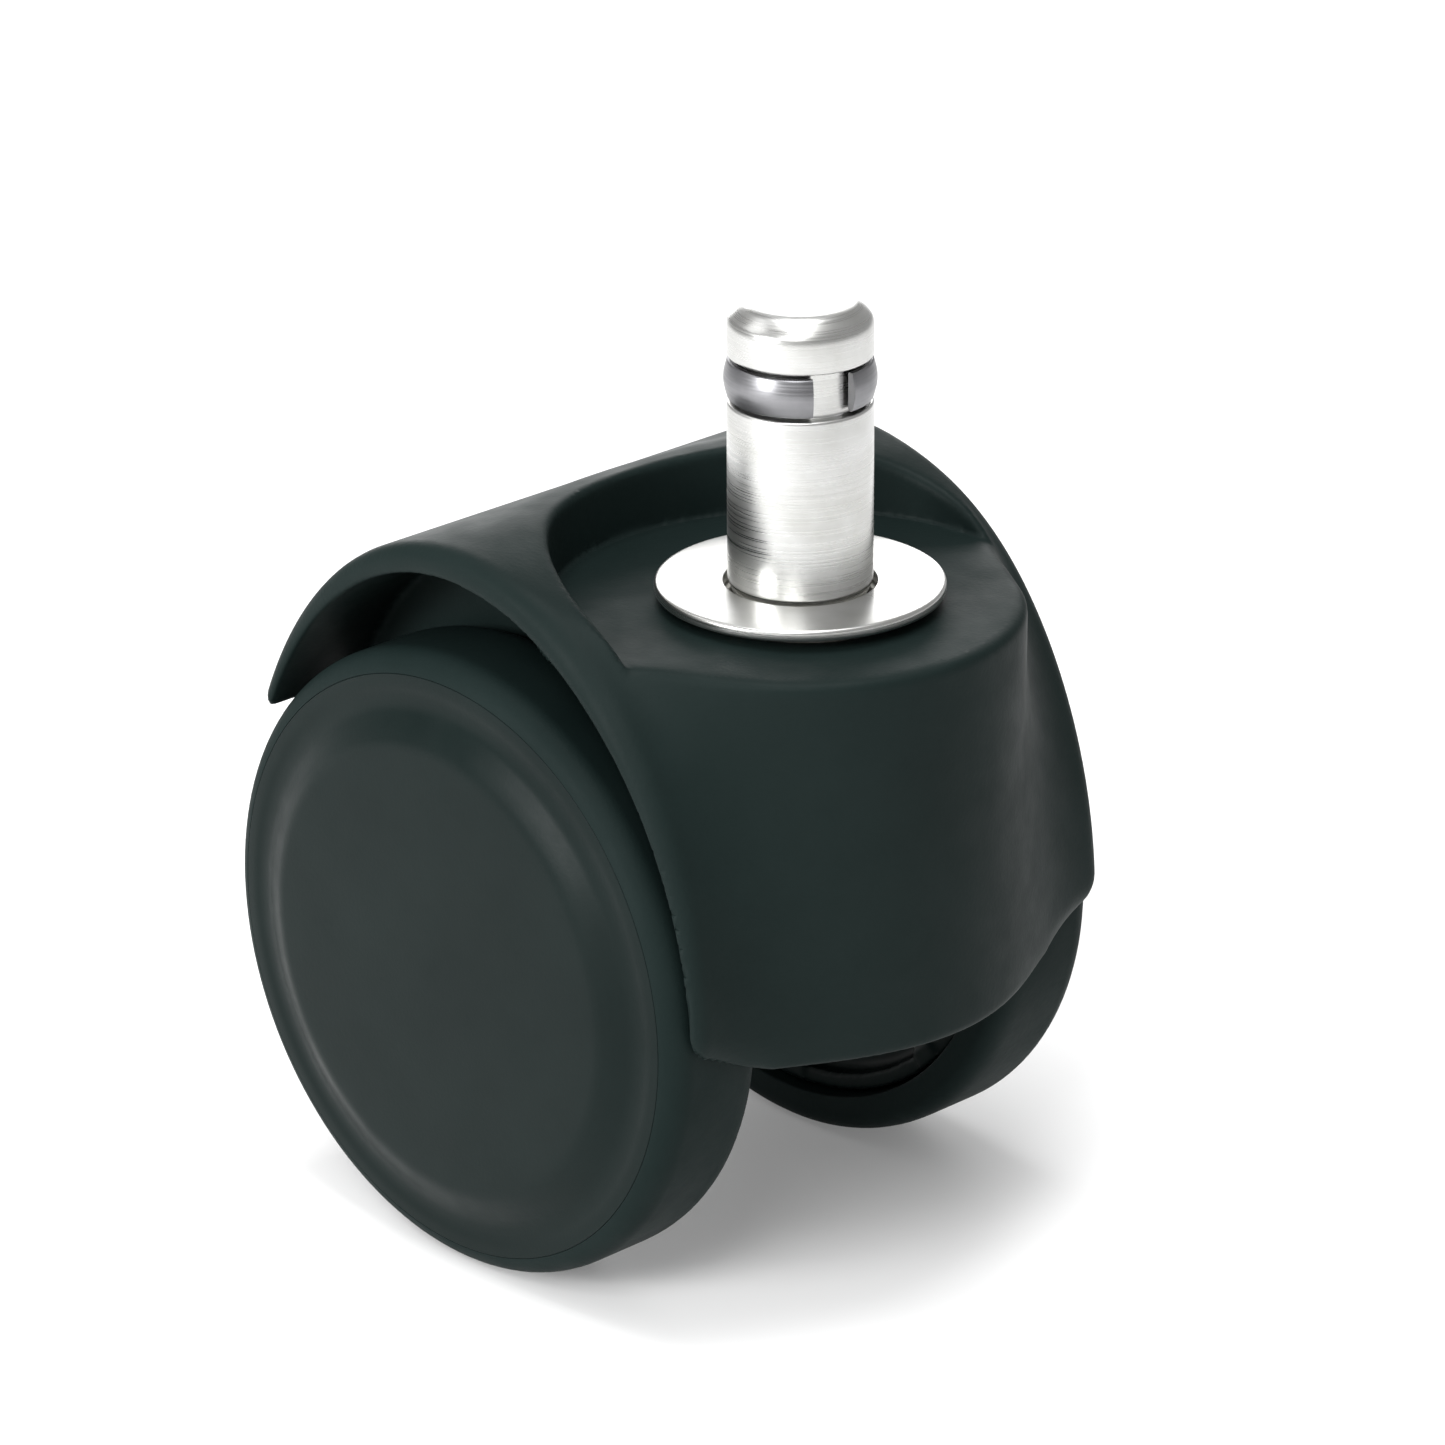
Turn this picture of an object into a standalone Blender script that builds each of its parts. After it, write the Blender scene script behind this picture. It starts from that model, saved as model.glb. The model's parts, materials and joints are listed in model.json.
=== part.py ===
"""Hooded twin-wheel swivel caster with a plug-in steel stem.

Blender 4.5.  Metres, +Z up the stem.  The origin is on the swivel axis, on the face of the collar
that the chair leg rests on.  The axle runs along Y and trails behind the stem, on the -X side.
Sizes below are millimetres and heights are above the floor, until MM and height() convert them.
"""
import math

import bmesh
import bpy
from mathutils import Matrix, Vector

MM = 0.001
GAP = 0.3                      # air left between pieces that touch on the real caster

# Driving dimensions
WHEEL_R = 25.0                 # wheel radius, tread to axle
TRAIL = 15.3                   # axle behind the swivel axis
SEAT_H = 54.8                  # seat of the leg above the floor
STEM_R = 5.5                   # plug-in stem, 11 mm across
STEM_LENGTH = 22.0             # stem above its seat
SHANK_R = 5.0                  # stem inside the hood
SHANK_END_H = 22.6             # lower end of the shank
COLLAR_R = 11.0
COLLAR_T = 0.9

# Hood
NECK_R = 17.2                  # round neck and front skirt, about the swivel axis
NECK_TOP_H = 53.2
NECK_EASE = 0.7                # bevel on the neck's upper edge
SKIRT_H = 22.6                 # lower edge of the front skirt
HOOD_HALF = 22.0               # half width over the two arches
ARCH_EASE = 0.8                # bevel on the arches' outer edges
LIP_RISE = (14.5, 2.0)         # outwards of this |Y| the skirt's lower edge rises by this much
ARCH_TOP = (33.6, 31.3)        # crown of the arch above the axle, outside and inside
ARCH_FRONT = (26.6, 25.6)      # front of the arch before the axle, outside and inside
ARCH_BACK = (25.2, 24.1)       # the same behind the axle
ARCH_END = 151.5               # angle where the arch stops behind the wheels, degrees from +X
SPOT_R = 18.9                  # flat that the neck's top is cut to, clear of the leg
POCKET_CEILING_H = 51.2        # roof of the wheel pockets under that flat
POCKET_CEILING_R = 20.3
WEB_HALF = 12.5                # centre casing between the wheels
WALL = 2.0
HOLLOW_TOP_H = 50.9
STEM_BOSS_R = 10.4
AXLE_BOSS_R = 6.6
CHIN_R = AXLE_BOSS_R + 3.0     # casing round the axle, below the skirt
RIB_T = 1.6
PAST = 12.0                    # how far a cutter runs past the hood

# Bearings in the hood
BORE_R = 7.2                   # seats of the two swivel bushes
BUSH_R = 6.9
BUSH_IN_R = SHANK_R + GAP
FLANGE_R = 8.4
FLANGE_T = 1.0
LOWER_BUSH_H = (24.2, 30.2)
UPPER_BUSH_H = (43.6, 52.4)

# Axle and wheels; t is the distance from the caster's middle plane, outwards along the axle
AXLE_R = 3.0
AXLE_HALF = 20.9
CLIP_T = (19.6, 20.2)
CLIP_GROOVE_R = 2.3
CLIP_R = 4.6
HUB_T = (13.5, 19.2)
HUB_BUSH_R = 4.5
SPACER_R = 6.2
WEB_T = (14.6, 17.2)           # disc of the wheel core between hub and rim
TREAD_NEAR_T = 13.6            # inner side of the tyre ring
NEAR_EASE = 1.4                # rounding of its inner corner
TREAD_IN_R = 21.9
CORNER_R = 2.2                 # rounding of the wheel's outer corner
CORNER_T = 20.65               # where that rounding meets the tread
STEP_T = 21.0                  # step in the tyre ring that the cover's rim sits in
CORE_R = TREAD_IN_R - GAP
COVER_R = 23.2
COVER_T = 24.3                 # crown of the cover
SHOULDER = [(18.5, 24.0), (19.2, 23.84), (19.9, 23.4), (20.5, 23.1), (21.2, 22.95)]
WHEEL_SIDES = 40
SMALL_SIDES = 28
NECK_SIDES = 64

MATERIALS = {
    "hood_nylon": ((0.030, 0.042, 0.041), 0.55, 0.0),
    "wheel_nylon": ((0.028, 0.038, 0.037), 0.50, 0.0),
    "tread_polymer": ((0.024, 0.033, 0.032), 0.60, 0.0),
    "bearing_plastic": ((0.55, 0.54, 0.50), 0.45, 0.0),
    "zinc_steel": ((0.62, 0.62, 0.60), 0.32, 1.0),
    "spring_steel": ((0.30, 0.30, 0.31), 0.35, 1.0),
}


def material(slot):
    """A Principled material for one slot, made once."""
    found = bpy.data.materials.get(slot)
    if found:
        return found
    colour, roughness, metallic = MATERIALS[slot]
    made = bpy.data.materials.new(slot)
    made.use_nodes = True
    shader = made.node_tree.nodes["Principled BSDF"]
    shader.inputs["Base Color"].default_value = (*colour, 1.0)
    shader.inputs["Roughness"].default_value = roughness
    shader.inputs["Metallic"].default_value = metallic
    return made


def height(above_floor):
    """Z in millimetres of a height above the floor."""
    return above_floor - SEAT_H


def arc(centre, half_axes, start, end, steps):
    """Points on an ellipse between two angles in degrees, both ends included."""
    points = []
    for i in range(steps + 1):
        angle = math.radians(start + (end - start) * i / steps)
        points.append((centre[0] + half_axes[0] * math.cos(angle),
                       centre[1] + half_axes[1] * math.sin(angle)))
    return points


def new_object(name, bm, slot=None, parent=None):
    """Turn a bmesh in millimetres into a named object; without a slot it is a cutter or a guide."""
    bmesh.ops.remove_doubles(bm, verts=bm.verts, dist=0.001)
    loose = [edge for edge in bm.edges if not edge.link_faces]
    bmesh.ops.delete(bm, geom=loose, context="EDGES")
    bmesh.ops.recalc_face_normals(bm, faces=bm.faces)
    bmesh.ops.scale(bm, vec=(MM, MM, MM), verts=bm.verts)
    mesh = bpy.data.meshes.new(name)
    bm.to_mesh(mesh)
    bm.free()
    piece = bpy.data.objects.new(name, mesh)
    bpy.context.scene.collection.objects.link(piece)
    piece.parent = parent
    if slot:
        mesh.materials.append(material(slot))
        mesh.shade_smooth()
        mesh.set_sharp_from_angle(angle=math.radians(32))
    else:
        piece.hide_render = True
        piece.display_type = "WIRE"
    return piece


def turned(name, profile, slot=None, parent=None, sides=SMALL_SIDES, sweep=360.0, turn=None):
    """Turn a profile of (radius, z) points about Z.

    A profile that starts and ends on the axis is left open there.  A sweep under 360 degrees
    gives an open ring with flat ends.  turn is a matrix that the result is moved by.
    """
    bm = bmesh.new()
    points = [bm.verts.new((radius, 0.0, z)) for radius, z in profile]
    on_axis = profile[0][0] == 0.0 and profile[-1][0] == 0.0
    if sweep < 360.0:
        bm.faces.new(points)
        outline = bm.faces[:] + bm.edges[:] + bm.verts[:]
    else:
        pairs = list(zip(points, points[1:]))
        if not on_axis:
            pairs.append((points[-1], points[0]))
        outline = [bm.edges.new(pair) for pair in pairs] + points
    bmesh.ops.spin(bm, geom=outline, cent=(0.0, 0.0, 0.0), axis=(0.0, 0.0, 1.0),
                   angle=math.radians(sweep), steps=sides, use_merge=sweep == 360.0)
    if turn:
        bm.transform(turn)
    return new_object(name, bm, slot, parent)


def prism(name, outline, low, high, plane="XZ", slot=None, parent=None):
    """Extrude a closed outline: (x, z) points along Y, (y, z) along X, or (x, y) along Z."""
    bm = bmesh.new()
    if plane == "XZ":
        corners = [bm.verts.new((x, low, z)) for x, z in outline]
        along = Vector((0.0, high - low, 0.0))
    elif plane == "YZ":
        corners = [bm.verts.new((low, y, z)) for y, z in outline]
        along = Vector((high - low, 0.0, 0.0))
    else:
        corners = [bm.verts.new((x, y, low)) for x, y in outline]
        along = Vector((0.0, 0.0, high - low))
    face = bm.faces.new(corners)
    grown = bmesh.ops.extrude_face_region(bm, geom=[face])["geom"]
    moved = [item for item in grown if isinstance(item, bmesh.types.BMVert)]
    bmesh.ops.translate(bm, vec=along, verts=moved)
    return new_object(name, bm, slot, parent)


def lofted(name, sections, slot=None):
    """Join closed (x, z) outlines of equal length, each given with its y, and cap both ends."""
    bm = bmesh.new()
    rings = [[bm.verts.new((x, y, z)) for x, z in outline] for y, outline in sections]
    for first, second in zip(rings, rings[1:]):
        for k in range(len(first)):
            bm.faces.new((first[k - 1], first[k], second[k], second[k - 1]))
    bm.faces.new(rings[0])
    bm.faces.new(rings[-1])
    return new_object(name, bm, slot)


def box(name, low, high):
    """A cutter or guide box between two corners."""
    outline = [(low[0], low[1]), (high[0], low[1]), (high[0], high[1]), (low[0], high[1])]
    return prism(name, outline, low[2], high[2], plane="XY")


def joined(name, pieces):
    """Join guides that don't touch into one cutter."""
    bm = bmesh.new()
    for piece in pieces:
        bm.from_mesh(piece.data)
        bpy.data.objects.remove(piece)
    mesh = bpy.data.meshes.new(name)
    bm.to_mesh(mesh)
    bm.free()
    cutter = bpy.data.objects.new(name, mesh)
    bpy.context.scene.collection.objects.link(cutter)
    cutter.hide_render = True
    cutter.display_type = "WIRE"
    return cutter


def boolean(target, operation, guide):
    """Give a piece one exact Boolean step."""
    step = target.modifiers.new(guide.name, "BOOLEAN")
    step.operation = operation
    step.solver = "EXACT"
    step.object = guide


def empty(name, location, turn_x=0.0, parent=None):
    """An empty on a joint's axis; its own Z is the axis of the pieces under it."""
    marker = bpy.data.objects.new(name, None)
    bpy.context.scene.collection.objects.link(marker)
    marker.location = Vector(location) * MM
    marker.rotation_euler = (math.radians(turn_x), 0.0, 0.0)
    marker.parent = parent
    return marker


def ring(inner, outer, low, high, edge=0.0):
    """Profile of a plain ring, with its outer corners eased by edge."""
    return [(inner, low), (outer - edge, low), (outer, low + edge), (outer, high - edge),
            (outer - edge, high), (inner, high)]


def plain_ring(inner, outer, low, high):
    """Profile of a ring with square corners."""
    return [(inner, low), (outer, low), (outer, high), (inner, high)]


AXLE = (-TRAIL, height(WHEEL_R))
ON_AXLE = Matrix.Translation((AXLE[0], 0.0, AXLE[1])) @ Matrix.Rotation(math.radians(-90.0), 4, "X")


# ---------------------------------------------------------------- stem
GRIP_Z = (14.6, 17.6)
GRIP_GROOVE_R = 4.7
SNAP_H = (23.3, 23.9)
SNAP_GROOVE_R = 4.2


def make_stem():
    """The steel pin with its pressed-on collar, grip ring and snap ring."""
    shank_end = height(SHANK_END_H)
    snap_low, snap_high = height(SNAP_H[0]), height(SNAP_H[1])
    pin = [(0.0, shank_end), (SHANK_R - 0.5, shank_end), (SHANK_R, shank_end + 0.2),
           (SHANK_R, snap_low - 0.1), (SNAP_GROOVE_R, snap_low - 0.1),
           (SNAP_GROOVE_R, snap_high + 0.1), (SHANK_R, snap_high + 0.1),
           (SHANK_R, -COLLAR_T - 0.1), (STEM_R, 0.2),
           (STEM_R, GRIP_Z[0] - GAP), (GRIP_GROOVE_R, GRIP_Z[0] - GAP),
           (GRIP_GROOVE_R, GRIP_Z[1] + GAP), (STEM_R, GRIP_Z[1] + GAP),
           (STEM_R, STEM_LENGTH - 1.2), (STEM_R - 1.2, STEM_LENGTH), (0.0, STEM_LENGTH)]
    turned("stem_pin", pin, "zinc_steel")
    turned("stem_collar", ring(STEM_R + GAP, COLLAR_R, -COLLAR_T, 0.0, 0.2), "zinc_steel")
    grip_in = GRIP_GROOVE_R + GAP
    grip_mid = (GRIP_Z[0] + GRIP_Z[1]) / 2
    grip = [(grip_in, GRIP_Z[0]), (STEM_R, GRIP_Z[0]), (STEM_R + 0.35, grip_mid),
            (STEM_R, GRIP_Z[1]), (grip_in, GRIP_Z[1])]
    turned("grip_ring", grip, "spring_steel", sweep=325.0)
    snap = plain_ring(SNAP_GROOVE_R + GAP, SHANK_R + 1.3, snap_low + 0.1, snap_high - 0.1)
    turned("stem_snap_ring", snap, "spring_steel", sweep=300.0)


# ---------------------------------------------------------------- hood
OUTSIDE, INSIDE = 0, 1


def arch_curve(face, end, ease=0.0):
    """The arch seen from the side, from its front at axle height over the crown to an end angle."""
    top = ARCH_TOP[face] - ease
    front = arc(AXLE, (ARCH_FRONT[face] - ease, top), 0.0, 90.0, 18)
    back = arc(AXLE, (ARCH_BACK[face] - ease, top), 90.0, end, 14)
    return front + back[1:]


def arch_outline(ease=0.0):
    """Side outline of the hood, filled in: front face, arch, back lip and down to the skirt."""
    over = arch_curve(OUTSIDE, ARCH_END, ease)
    lip = arch_curve(INSIDE, ARCH_END)[-1]
    return [(over[0][0], height(SKIRT_H))] + over + [lip, (AXLE[0], height(SKIRT_H))]


def pocket_outline():
    """Side outline of a wheel pocket, open below and behind."""
    over = arch_curve(INSIDE, ARCH_END + 6.0)
    low = height(SKIRT_H) - PAST
    far = AXLE[0] - 40.0
    return [(over[0][0], low)] + over + [(far, over[-1][1]), (far, low)]


def lip_rise_guide():
    """Two wedges that lift the skirt's lower edge towards the wheels."""
    start, rise = LIP_RISE
    floor = height(SKIRT_H)
    wedges = []
    for side in (-1, 1):
        near, lip, far = side * start, side * HOOD_HALF, side * (HOOD_HALF + PAST)
        outline = [(near, floor), (lip, floor + rise), (far, floor + rise), (far, floor - PAST),
                   (near, floor - PAST)]
        wedges.append(prism("lip_%d" % (side + 1), outline, AXLE[0], NECK_R + PAST, plane="YZ"))
    return joined("lip_rise_guide", wedges)


def pocket_guide():
    """Both wheel pockets, with their roof kept under the flat top of the neck."""
    pockets = []
    for side in (-1, 1):
        low, high = sorted((side * WEB_HALF, side * (HOOD_HALF + PAST)))
        pockets.append(prism("pocket_guide_%d" % (side + 1), pocket_outline(), low, high))
    pocket = joined("pocket_guide", pockets)
    roof = height(POCKET_CEILING_H)
    ceiling = [(0.0, roof), (POCKET_CEILING_R, roof), (POCKET_CEILING_R, PAST), (0.0, PAST)]
    boolean(pocket, "DIFFERENCE", turned("ceiling_guide", ceiling, sides=NECK_SIDES))
    return pocket


def make_hood():
    """The one-piece moulded hood: arches over both wheels, neck, skirt and centre casing."""
    top = height(NECK_TOP_H)
    floor = height(SKIRT_H)
    full, eased = arch_outline(), arch_outline(ARCH_EASE)
    inner = HOOD_HALF - ARCH_EASE
    hood = lofted("hood_shell", [(-HOOD_HALF, eased), (-inner, full), (inner, full), (HOOD_HALF, eased)],
                  slot="hood_nylon")
    neck = [(0.0, floor), (NECK_R, floor), (NECK_R, top - NECK_EASE), (NECK_R - NECK_EASE, top), (0.0, top)]
    boolean(hood, "UNION", turned("neck_guide", neck, sides=NECK_SIDES))
    boolean(hood, "DIFFERENCE", lip_rise_guide())
    boolean(hood, "UNION", turned("axle_casing_guide", plain_ring(0.0, CHIN_R, -WEB_HALF, WEB_HALF),
                                  sides=32, turn=ON_AXLE))
    boolean(hood, "DIFFERENCE", pocket_guide())
    spot = [(0.0, top), (SPOT_R, top), (SPOT_R, top + PAST), (0.0, top + PAST)]
    boolean(hood, "DIFFERENCE", turned("spot_face_guide", spot, sides=NECK_SIDES))
    boolean(hood, "DIFFERENCE", hollow_guide())
    boolean(hood, "UNION", bosses_guide())
    boolean(hood, "DIFFERENCE", bores_guide())


def hollow_guide():
    """The space inside the centre casing, open below."""
    inner = (ARCH_BACK[OUTSIDE] - WALL, ARCH_TOP[OUTSIDE] - WALL)
    half = WEB_HALF - WALL
    ceiling = height(HOLLOW_TOP_H)
    low = height(SKIRT_H) - PAST
    far = AXLE[0] - 40.0
    over = [point for point in arc(AXLE, inner, 60.0, ARCH_END + 3.0, 30)
            if point[1] < ceiling and point[0] < AXLE[0]]
    back = [(0.0, low), (0.0, ceiling), (over[0][0] + 0.5, ceiling)] + over
    behind = prism("hollow_back_guide", back + [(far, over[-1][1]), (far, low)], -half, half)
    skirt_r = NECK_R - WALL
    reach = math.degrees(math.asin(half / skirt_r)) + 3.0
    turn = arc((0.0, 0.0), (skirt_r, skirt_r), -reach, reach, 20)
    plan = [(-0.5, -half), (turn[0][0], -half)] + turn + [(turn[-1][0], half), (-0.5, half)]
    front = prism("hollow_guide", plan, low - 0.5, ceiling - 0.05, plane="XY")
    boolean(front, "UNION", behind)
    return front


def bosses_guide():
    """The stem boss, the axle boss and the ribs that tie them to the walls."""
    floor = height(SKIRT_H)
    top = height(NECK_TOP_H) - 0.5
    boss = turned("bosses_guide", [(0.0, floor), (STEM_BOSS_R, floor), (STEM_BOSS_R, top), (0.0, top)],
                  sides=40)
    reach = WEB_HALF - 0.5
    boolean(boss, "UNION", turned("axle_boss_guide", plain_ring(0.0, AXLE_BOSS_R, -reach, reach),
                                  sides=32, turn=ON_AXLE))
    half = RIB_T / 2
    wall = WEB_HALF - WALL / 2
    rib_floor = floor + 4.0
    ribs = [box("rib_cross_guide", (-half, -wall, rib_floor), (half, wall, top)),
            box("rib_front_guide", (0.0, -half, rib_floor), (NECK_R - WALL / 2, half, top)),
            box("rib_back_guide", (AXLE[0] - 18.0, -half, AXLE[1] + 1.0), (AXLE[0], half, top - 4.5))]
    for rib in ribs:
        boolean(boss, "UNION", rib)
    return boss


def bores_guide():
    """The stepped stem bore and the axle bore."""
    low = height(SKIRT_H) - PAST
    low_top = height(LOWER_BUSH_H[1]) + GAP
    up_low = height(UPPER_BUSH_H[0]) - GAP
    flange_floor = height(UPPER_BUSH_H[1]) - FLANGE_T - GAP
    neck_r = SHANK_R + 2 * GAP
    seat_r = FLANGE_R + GAP
    stem = [(0.0, low), (BORE_R, low), (BORE_R, low_top), (neck_r, low_top), (neck_r, up_low),
            (BORE_R, up_low), (BORE_R, flange_floor), (seat_r, flange_floor), (seat_r, PAST), (0.0, PAST)]
    bore = turned("bores_guide", stem)
    reach = WEB_HALF + 2.0
    boolean(bore, "UNION", turned("axle_bore_guide", plain_ring(0.0, AXLE_R + GAP, -reach, reach),
                                  turn=ON_AXLE))
    return bore


def make_swivel_bearing(swivel):
    """Two plastic bushes and the thrust washer that the collar turns on."""
    up_low, up_high = height(UPPER_BUSH_H[0]), height(UPPER_BUSH_H[1])
    under = up_high - FLANGE_T
    upper = [(BUSH_IN_R, up_low), (BUSH_R, up_low), (BUSH_R, under), (FLANGE_R, under),
             (FLANGE_R, up_high), (BUSH_IN_R, up_high)]
    lower = plain_ring(BUSH_IN_R, BUSH_R, height(LOWER_BUSH_H[0]), height(LOWER_BUSH_H[1]))
    washer = plain_ring(BUSH_IN_R + 0.2, FLANGE_R - 0.2, up_high + GAP, -COLLAR_T - GAP)
    turned("upper_swivel_bush", upper, "bearing_plastic", swivel)
    turned("lower_swivel_bush", lower, "bearing_plastic", swivel)
    turned("thrust_washer", washer, "bearing_plastic", swivel)


def make_axle(axle_line):
    """The steel axle with a clip in a groove at each end, and the two spacer washers."""
    near, far = CLIP_T[0] - GAP / 2, CLIP_T[1] + GAP / 2
    ease = 0.4
    stretch = [(AXLE_R, near), (CLIP_GROOVE_R, near), (CLIP_GROOVE_R, far), (AXLE_R, far),
               (AXLE_R, AXLE_HALF - ease), (AXLE_R - ease, AXLE_HALF), (0.0, AXLE_HALF)]
    half = []
    for side in (-1, 1):
        half.append([(radius, side * t) for radius, t in stretch])
    turned("axle", half[0][::-1] + half[1], "zinc_steel", axle_line, sides=24)


# ---------------------------------------------------------------- wheels
def cover_profile():
    """Section of the cover: raised dome, shoulder and rim, then back along the inside."""
    shoulder_r, shoulder_t = SHOULDER[0]
    under = STEP_T + GAP
    dome = [(shoulder_r * k / 3, COVER_T - (COVER_T - shoulder_t) * (k / 3) ** 2) for k in range(3)]
    skirt_in, skirt_out, skirt_end = 18.9, 20.0, 18.4
    inside = [(COVER_R, under), (skirt_out, under), (skirt_out, skirt_end), (skirt_in, skirt_end),
              (skirt_in, shoulder_t - 2.3), (shoulder_r - 1.0, shoulder_t - 1.6),
              (shoulder_r / 2, COVER_T - 1.6), (0.0, COVER_T - 1.5)]
    return dome + SHOULDER + [(COVER_R, corner_t(COVER_R))] + inside


def corner_t(radius):
    """Distance out along the axle of the wheel's rounded outer corner at a radius."""
    across = max(radius - (WHEEL_R - CORNER_R), 0.0)
    return CORNER_T + math.sqrt(CORNER_R ** 2 - across ** 2)


def core_profile():
    """Section of the wheel core: hub, web and rim."""
    hub_in, hub_out = 4.8, 7.8
    rim_in = CORE_R - 1.3
    return [(hub_in, HUB_T[0]), (hub_out, HUB_T[0]), (hub_out, WEB_T[0]), (CORE_R, WEB_T[0]),
            (CORE_R, STEP_T), (rim_in, STEP_T), (rim_in, WEB_T[1]), (hub_out, WEB_T[1]),
            (hub_out, HUB_T[1]), (hub_in, HUB_T[1])]


def tread_profile():
    """Section of the tyre ring, stepped to sit round the cover's rim."""
    inner_corner = arc((WHEEL_R - NEAR_EASE, TREAD_NEAR_T + NEAR_EASE), (NEAR_EASE, NEAR_EASE), -90.0, 0.0, 3)
    step_r = COVER_R + GAP
    start = math.degrees(math.acos((step_r - WHEEL_R + CORNER_R) / CORNER_R))
    outer_corner = arc((WHEEL_R - CORNER_R, CORNER_T), (CORNER_R, CORNER_R), 0.0, start, 4)
    step = [(step_r, STEP_T), (TREAD_IN_R, STEP_T)]
    return [(TREAD_IN_R, TREAD_NEAR_T)] + inner_corner + outer_corner + step


def pocket_cutters(axis, side):
    """Eight shallow pockets that leave spokes on the inner face of a wheel core."""
    wedges = []
    spokes = 8
    outer, inner = (19.2, 19.2), (9.4, 9.4)
    for i in range(spokes):
        start = 360.0 * i / spokes + 5.0
        end = start + 360.0 / spokes - 10.0
        outline = arc((0.0, 0.0), outer, start, end, 5) + arc((0.0, 0.0), inner, end - 3.0, start + 3.0, 3)
        wedges.append(prism("wedge_%d" % i, outline, WEB_T[0] - 1.0, WEB_T[0] + 1.3, plane="XY"))
    cutter = joined(side + "_spoke_guide", wedges)
    cutter.parent = axis
    return cutter


def make_wheel(side, axis):
    """One wheel with its tyre ring, cover, hub bush, spacer washer and axle clip."""
    core = turned(side + "_wheel_core", core_profile(), "wheel_nylon", axis, sides=WHEEL_SIDES)
    boolean(core, "DIFFERENCE", pocket_cutters(axis, side))
    turned(side + "_tread", tread_profile(), "tread_polymer", axis, sides=WHEEL_SIDES)
    turned(side + "_wheel_cover", cover_profile(), "wheel_nylon", axis, sides=WHEEL_SIDES)
    bush = plain_ring(AXLE_R + GAP, HUB_BUSH_R, *HUB_T)
    spacer = plain_ring(AXLE_R + GAP, SPACER_R, WEB_HALF + GAP, HUB_T[0] - GAP)
    clip = plain_ring(CLIP_GROOVE_R + GAP, CLIP_R, *CLIP_T)
    turned(side + "_hub_bush", bush, "bearing_plastic", axis, sides=24)
    turned(side + "_spacer_washer", spacer, "zinc_steel", axis, sides=24)
    turned(side + "_axle_clip", clip, "spring_steel", axis, sides=20, sweep=290.0)


def main():
    """Clear the scene and build the caster."""
    for thing in list(bpy.data.objects):
        bpy.data.objects.remove(thing)
    make_stem()
    swivel = empty("swivel_axis", (0.0, 0.0, 0.0))
    axle_line = empty("axle_axis", (AXLE[0], 0.0, AXLE[1]), -90.0, swivel)
    right_axis = empty("right_wheel_axis", (AXLE[0], 0.0, AXLE[1]), 90.0, swivel)
    left_axis = empty("left_wheel_axis", (AXLE[0], 0.0, AXLE[1]), -90.0, swivel)
    make_hood()
    make_swivel_bearing(swivel)
    make_axle(axle_line)
    make_wheel("right", right_axis)
    make_wheel("left", left_axis)
    bpy.data.objects["hood_shell"].parent = swivel


main()
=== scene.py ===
"""Looks of the hooded twin-wheel caster: fine meshes, moulded and metal materials, light and camera."""
import json
import math

import bmesh
import bpy
import numpy as np
from mathutils import Matrix, Vector


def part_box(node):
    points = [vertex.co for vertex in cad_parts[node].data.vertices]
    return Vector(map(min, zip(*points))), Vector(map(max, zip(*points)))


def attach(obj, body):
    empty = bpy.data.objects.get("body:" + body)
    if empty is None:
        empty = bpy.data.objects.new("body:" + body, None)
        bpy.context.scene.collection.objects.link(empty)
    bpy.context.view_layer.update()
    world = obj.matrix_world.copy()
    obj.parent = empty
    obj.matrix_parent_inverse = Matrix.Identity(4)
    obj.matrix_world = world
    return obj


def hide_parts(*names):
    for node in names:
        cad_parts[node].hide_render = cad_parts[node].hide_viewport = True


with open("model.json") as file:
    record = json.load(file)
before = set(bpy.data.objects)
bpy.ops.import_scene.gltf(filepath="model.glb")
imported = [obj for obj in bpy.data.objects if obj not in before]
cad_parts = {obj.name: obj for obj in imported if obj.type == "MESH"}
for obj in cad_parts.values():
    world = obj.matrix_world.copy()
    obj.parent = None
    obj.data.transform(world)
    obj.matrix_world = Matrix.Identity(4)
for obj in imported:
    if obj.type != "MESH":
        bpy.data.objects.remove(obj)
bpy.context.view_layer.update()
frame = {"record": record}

MM = 0.001

# ---------------------------------------------------------------- places, read from the frame, in millimetres


def span(node):
    """Lowest and highest corner of a CAD node, in millimetres."""
    low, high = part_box(node)
    return Vector(low) / MM, Vector(high) / MM


TREAD_LOW, TREAD_HIGH = span("left_tread")
HOOD_LOW, HOOD_HIGH = span("hood_shell")
WHEEL_R = (TREAD_HIGH.z - TREAD_LOW.z) / 2
AXLE_X = (TREAD_HIGH.x + TREAD_LOW.x) / 2
AXLE_Z = (TREAD_HIGH.z + TREAD_LOW.z) / 2
FLOOR_Z = TREAD_LOW.z
HOOD_HALF = HOOD_HIGH.y
NECK_R = HOOD_HIGH.x
STEM_TOP = span("stem_pin")[1].z
SHANK_END = span("stem_pin")[0].z


def height(above_floor):
    """Z in millimetres of a height above the floor."""
    return FLOOR_Z + above_floor


# ---------------------------------------------------------------- turned pieces

WELD = 0.0005                  # points nearer than this are one
CREASE = 40                    # degrees; sharper edges of turned pieces stay crisp
WHEEL_SIDES = 144
STEM_SIDES = 96
RING_SIDES = 64


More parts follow.
